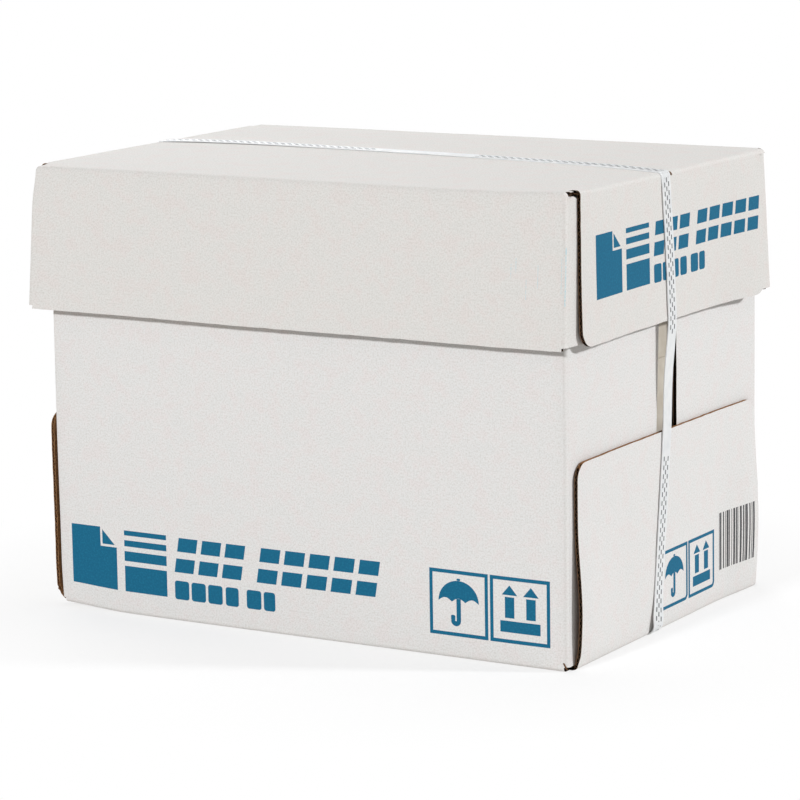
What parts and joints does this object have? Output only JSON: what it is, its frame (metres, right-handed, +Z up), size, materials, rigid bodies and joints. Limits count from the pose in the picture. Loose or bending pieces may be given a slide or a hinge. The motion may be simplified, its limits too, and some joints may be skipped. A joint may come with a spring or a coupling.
{
  "type": "strapped copy paper carton",
  "caption": "Corrugated board carton with a slip-over lid, folded end flaps and one lengthwise plastic strap, holding a stack of wrapped packs of sheets.",
  "frame": {"origin": "middle of the base, on the surface that the carton stands on", "axes": "+X along the carton's length towards the end with the open slot shown in the picture, -Y towards the printed long wall, +Z up"},
  "size_m": [0.3178, 0.2212, 0.2414],
  "materials": {
    "tray_board": "white-lined corrugated board, uncoated",
    "lid_board": "white-lined corrugated board, uncoated",
    "strap_film": "white polypropylene band, fine embossed",
    "pack_wrapper": "plain wrapping paper"
  },
  "bodies": {
    "root": {"carton_body": "tray_board", "carton_lid": "lid_board", "strap": "strap_film", "ream_1": "pack_wrapper", "ream_2": "pack_wrapper", "ream_3": "pack_wrapper", "ream_4": "pack_wrapper", "ream_5": "pack_wrapper"}
  },
  "joints": []
}
